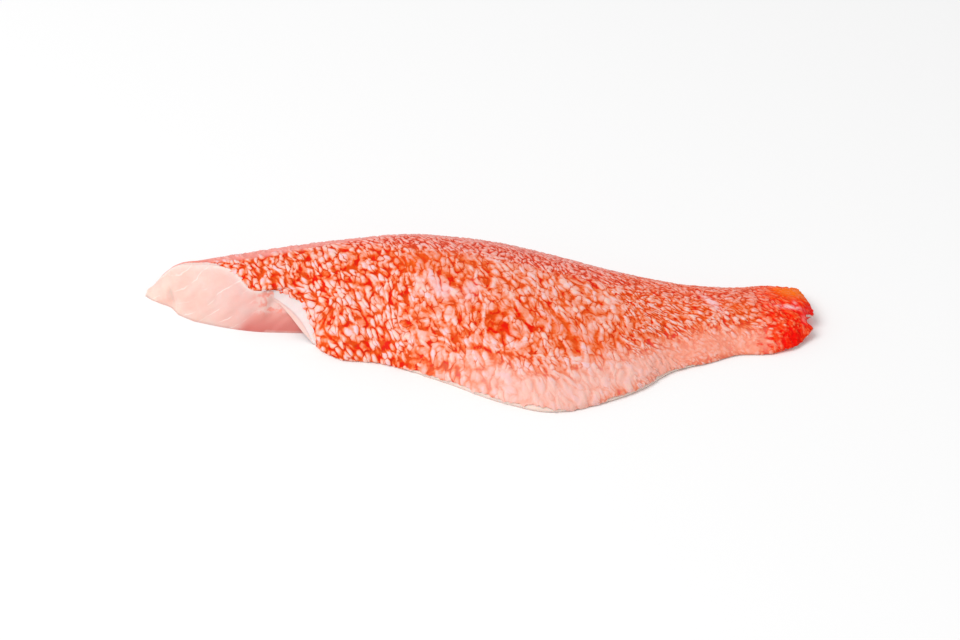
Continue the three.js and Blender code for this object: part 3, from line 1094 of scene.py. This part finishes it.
class FleshSettings(bpy.types.PropertyGroup):
    """Sizes and colours of the flesh"""

    bed: size("Bed", "How far the flesh lies inside the skin", 0.5)
    cream: tint("Cream", "Cut face near the head tip", 242, 211, 198)
    pink: tint("Pink", "Cut face near the belly flap", 230, 184, 177)
    blush: tint("Blush", "Warm patches in the flesh", 243, 174, 160)
    white: tint("White", "Lines between flakes", 253, 236, 230)
    strip: tint("Strip", "Strip of flesh below the skin's edge", 244, 220, 208)
    outer_rim: tint("Outer rim", "Outer band of the flap's rim", 236, 218, 216)
    rim_line: tint("Rim line", "Thin line between the two bands of the flap's rim", 226, 186, 180)
    inner_rim: tint("Inner rim", "Inner band of the flap's rim", 243, 204, 195)
    blotch: tint("Blotch", "Red blotches beside the flap", 246, 156, 140)
    # Hollow: darker flesh with painted shade under the flap. The next colour is painted shade at the hollow's
    # foot and a painted contact shadow along the flesh's foot, and also draws the underside's midline.
    hollow: tint("Hollow", "Wall of the hollow under the flap", 234, 160, 148)
    shade_and_midline: tint("Deep", "Deepest part of the hollow and the midline", 216, 120, 112)


class StudioSettings(bpy.types.PropertyGroup):
    """Floor, light and camera"""

    floor: tint("Floor", "Colour of the floor", 250, 250, 250)
    sky: FloatProperty(name="Sky", description="Strength of the even light", default=0.6, min=0)
    key: FloatProperty(name="Key", description="Power of the soft lamp", default=38, min=0, unit="POWER")
    lens: FloatProperty(
        name="Lens", description="Focal length of the camera", default=93.8, min=1, unit="CAMERA"
    )
    away: size("Away", "Distance from the camera to the fillet", 900)
    rise: FloatProperty(
        name="Rise", description="Angle at which the camera looks down", default=math.radians(32),
        subtype="ANGLE", unit="ROTATION",
    )


# ---- operators


def dress(piece):
    """Puts the piece on the fillet's body in place of its plain solid."""
    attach(piece, BODY)
    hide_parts(NODE)


class FILLET_OT_flesh(bpy.types.Operator):
    """Make the flesh, with the head cut and the hollow under the belly flap"""

    bl_idname = "fillet.flesh"
    bl_label = "Flesh"

    def execute(self, context):
        settings = context.scene.fillet_flesh
        parts = flesh_parts(settings.bed / MM)
        dress(new_piece("flesh", *parts, flesh_material(settings)))
        return {"FINISHED"}


class FILLET_OT_skin(bpy.types.Operator):
    """Make the skin, with its scale pockets swollen from the surface"""

    bl_idname = "fillet.skin"
    bl_label = "Skin"

    def execute(self, context):
        settings = context.scene.fillet_skin
        rings = skin_rings()
        rings, lie = draw_back_cut(rings, skin_lie(rings))
        points, faces = sheet_parts(rings, settings.thickness / MM)
        masks = {"lie": lie, **skin_zones(rings, lie), "outer": np.ones(rings.shape[:2])}
        for name, zone in masks.items():
            inner = zone[::2, ::2] * (name != "outer")
            masks[name] = np.concatenate([zone.ravel(), inner.ravel()])
        piece = new_piece("skin", points, faces, masks, skin_material(settings))
        swell_pockets(piece, settings)
        dress(piece)
        return {"FINISHED"}


# Middle of the picture on the fillet, in metres of the frame.
AIM = Vector((0.0012, 0.00145, 0.0063))
FLOOR_HALF = 3.0
KEY_PLACE = Vector((-1.25, -0.75, 2.0))
KEY_SIZE = 1.8


class FILLET_OT_stage(bpy.types.Operator):
    """Make the floor, the soft light and the camera"""

    bl_idname = "fillet.stage"
    bl_label = "Stage"

    def execute(self, context):
        settings = context.scene.fillet_studio
        scene = context.scene
        mesh = bpy.data.meshes.new("floor")
        corners = [(x * FLOOR_HALF, y * FLOOR_HALF, 0) for x, y in ((-1, -1), (1, -1), (1, 1), (-1, 1))]
        mesh.from_pydata(corners, [], [(0, 1, 2, 3)])
        floor = new_object("floor", mesh)
        material = bpy.data.materials.new("pale floor")
        material.use_nodes = True
        fill(material.node_tree.nodes["Principled BSDF"], {
            "Base Color": (*settings.floor, 1), "Roughness": 0.8, "Specular IOR Level": 0.1,
        })
        mesh.materials.append(material)

        world = bpy.data.worlds.new("soft sky")
        world.use_nodes = True
        fill(world.node_tree.nodes["Background"], {"Color": (1, 1, 1, 1), "Strength": settings.sky})
        scene.world = world

        lamp = bpy.data.lights.new("soft lamp", "AREA")
        lamp.shape = "DISK"
        lamp.size = KEY_SIZE
        lamp.energy = settings.key
        key = new_object("soft lamp", lamp)
        key.location = KEY_PLACE
        key.rotation_euler = (AIM - KEY_PLACE).to_track_quat("-Z", "Y").to_euler()

        lens = bpy.data.cameras.new("camera")
        lens.lens = settings.lens
        lens.sensor_width = 36
        lens.clip_start = 0.01
        camera = new_object("camera", lens)
        toward = Vector((0, -math.cos(settings.rise), math.sin(settings.rise)))
        camera.location = AIM + toward * settings.away
        camera.rotation_euler = (-toward).to_track_quat("-Z", "Y").to_euler()
        scene.camera = camera
        scene.view_settings.view_transform = "Standard"
        return {"FINISHED"}


class FILLET_PT_panel(bpy.types.Panel):
    """Buttons and settings for the fillet"""

    bl_idname = "FILLET_PT_panel"
    bl_label = "Redfish fillet"
    bl_space_type = "VIEW_3D"
    bl_region_type = "UI"
    bl_category = "Fillet"

    def draw(self, context):
        for operator, settings in (
            (FILLET_OT_flesh, context.scene.fillet_flesh),
            (FILLET_OT_skin, context.scene.fillet_skin),
            (FILLET_OT_stage, context.scene.fillet_studio),
        ):
            box = self.layout.box()
            box.operator(operator.bl_idname)
            for name in settings.__annotations__:
                box.prop(settings, name)


CLASSES = (
    SkinSettings, FleshSettings, StudioSettings, FILLET_OT_flesh, FILLET_OT_skin, FILLET_OT_stage,
    FILLET_PT_panel,
)


def register():
    for made in CLASSES:
        bpy.utils.register_class(made)
    bpy.types.Scene.fillet_skin = PointerProperty(type=SkinSettings)
    bpy.types.Scene.fillet_flesh = PointerProperty(type=FleshSettings)
    bpy.types.Scene.fillet_studio = PointerProperty(type=StudioSettings)


def unregister():
    for name in ("fillet_skin", "fillet_flesh", "fillet_studio"):
        delattr(bpy.types.Scene, name)
    for made in reversed(CLASSES):
        bpy.utils.unregister_class(made)


def main():
    register()
    bpy.ops.fillet.stage()
    bpy.ops.fillet.flesh()
    bpy.ops.fillet.skin()


if __name__ == "__main__":
    main()
